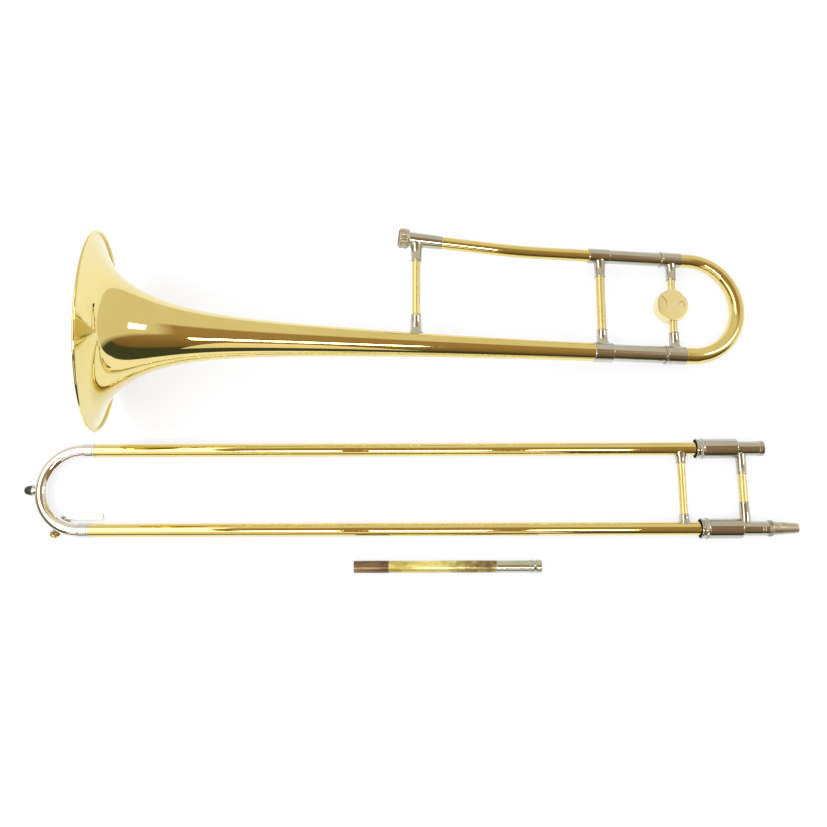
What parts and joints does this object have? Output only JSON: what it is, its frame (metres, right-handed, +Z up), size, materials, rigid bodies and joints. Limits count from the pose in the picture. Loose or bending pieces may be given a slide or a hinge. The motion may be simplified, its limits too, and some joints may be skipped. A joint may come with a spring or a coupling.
{
  "type": "tenor trombone",
  "caption": "Tenor trombone laid out in sections: bell section with tuning slide and counterweight, closed hand slide with water key, and a loose leadpipe.",
  "frame": {"origin": "bottom centre of the whole layout's box, on the surface that it lies on", "axes": "+X along the hand slide towards its tenon, +Y from the hand slide towards the bell section, +Z up"},
  "size_m": [0.826, 0.3657, 0.2014],
  "materials": {
    "lacquered_brass": "mirror polished under clear lacquer",
    "nickel_silver": "polished nickel silver",
    "bright_nickel": "mirror polished nickel plate",
    "chromed_tube": "hard chrome, polished",
    "aged_nickel": "bare nickel silver, dulled and slightly green",
    "aged_brass": "bare drawn brass, streaked with tarnish",
    "gold_brass": "satin cast brass under lacquer",
    "steel": "plain screw and spring steel",
    "rubber": "moulded black rubber",
    "cork": "natural cork"
  },
  "bodies": {
    "bell_section": {"bell_flare": "lacquered_brass", "bell_rim_wire": "lacquered_brass", "bell_tail_ferrule": "nickel_silver", "tuning_sleeve_bell_side": "nickel_silver", "tuning_sleeve_neck_side": "nickel_silver", "neck_ferrule": "nickel_silver", "neckpipe": "lacquered_brass", "neck_receiver": "nickel_silver", "front_brace_bell_socket": "nickel_silver", "front_brace_tube": "lacquered_brass", "front_brace_neck_socket": "nickel_silver", "rear_brace_bell_socket": "nickel_silver", "rear_brace_tube": "lacquered_brass", "rear_brace_neck_socket": "nickel_silver"},
    "lock_nut": {"lock_nut": "aged_nickel"},
    "tuning_slide": {"tuning_crook": "lacquered_brass", "tuning_leg_bell_side": "chromed_tube", "tuning_leg_neck_side": "chromed_tube", "tuning_ferrule_bell_side": "nickel_silver", "tuning_ferrule_neck_side": "nickel_silver", "tuning_brace_bell_socket": "nickel_silver", "tuning_brace_neck_socket": "nickel_silver", "tuning_brace_tube": "lacquered_brass", "counterweight": "gold_brass", "counterweight_inlay": "gold_brass", "counterweight_screw": "gold_brass"},
    "inner_slide": {"inner_tube_bell_side": "chromed_tube", "inner_tube_mouthpiece_side": "chromed_tube", "barrel_bell_side": "nickel_silver", "barrel_mouthpiece_side": "nickel_silver", "barrel_collar": "nickel_silver", "barrel_corks": "cork", "mouthpiece_receiver": "nickel_silver", "tenon_sleeve": "nickel_silver", "thread_ring": "aged_nickel", "slide_tenon": "aged_nickel", "inner_brace_bell_socket": "nickel_silver", "inner_brace_mouthpiece_socket": "nickel_silver", "inner_brace_tube": "lacquered_brass"},
    "slide_lock": {"slide_lock_ring": "nickel_silver"},
    "outer_slide": {"outer_tube_bell_side": "lacquered_brass", "outer_tube_mouthpiece_side": "lacquered_brass", "slide_lock_pin": "nickel_silver", "slide_crook": "bright_nickel", "crook_ferrule_bell_side": "nickel_silver", "crook_ferrule_mouthpiece_side": "nickel_silver", "bumper_socket": "nickel_silver", "rubber_bumper": "rubber", "outer_brace_bell_socket": "nickel_silver", "outer_brace_mouthpiece_socket": "nickel_silver", "outer_brace_tube": "lacquered_brass", "water_key_nipple": "nickel_silver", "water_key_saddle": "nickel_silver", "water_key_pivot_screw": "steel"},
    "water_key": {"water_key_lever": "nickel_silver", "water_key_cup": "lacquered_brass", "water_key_cork": "cork", "water_key_spring": "steel"},
    "leadpipe": {"leadpipe_tube": "aged_brass", "leadpipe_collar": "nickel_silver"}
  },
  "joints": [
    {"name": "tuning_slide_pull", "type": "slide", "parent": "bell_section", "child": "tuning_slide", "axis": [0.9908, -0.0078, -0.1348], "range_m": [0, 0.045]},
    {"name": "lock_nut_turn", "type": "hinge", "parent": "bell_section", "child": "lock_nut", "pos_m": [-0.00385, 0.17177, 0.05891], "axis": [-0.9881, 0.074, 0.1345], "continuous": true},
    {"name": "slide_section_lift", "type": "slide", "parent": "bell_section", "child": "inner_slide", "axis": [0, 0, 1], "range_m": [0, 0.045]},
    {"name": "leadpipe_lift", "type": "slide", "parent": "bell_section", "child": "leadpipe", "axis": [0, 0, 1], "range_m": [0, 0.25]},
    {"name": "hand_slide", "type": "slide", "parent": "inner_slide", "child": "outer_slide", "axis": [-1, 0, 0], "range_m": [0, 0.59]},
    {"name": "slide_lock_turn", "type": "hinge", "parent": "inner_slide", "child": "slide_lock", "pos_m": [0.3097, -0.13707, 0.0112], "axis": [1, 0, 0], "range_deg": [0, 35]},
    {"name": "water_key_press", "type": "hinge", "parent": "outer_slide", "child": "water_key", "pos_m": [-0.36936, -0.12459, 0.00342], "axis": [0.866, -0.5, 0], "range_deg": [0, 12], "stiffness_Nm_per_rad": 0.06, "springref_deg": -28.65}
  ]
}
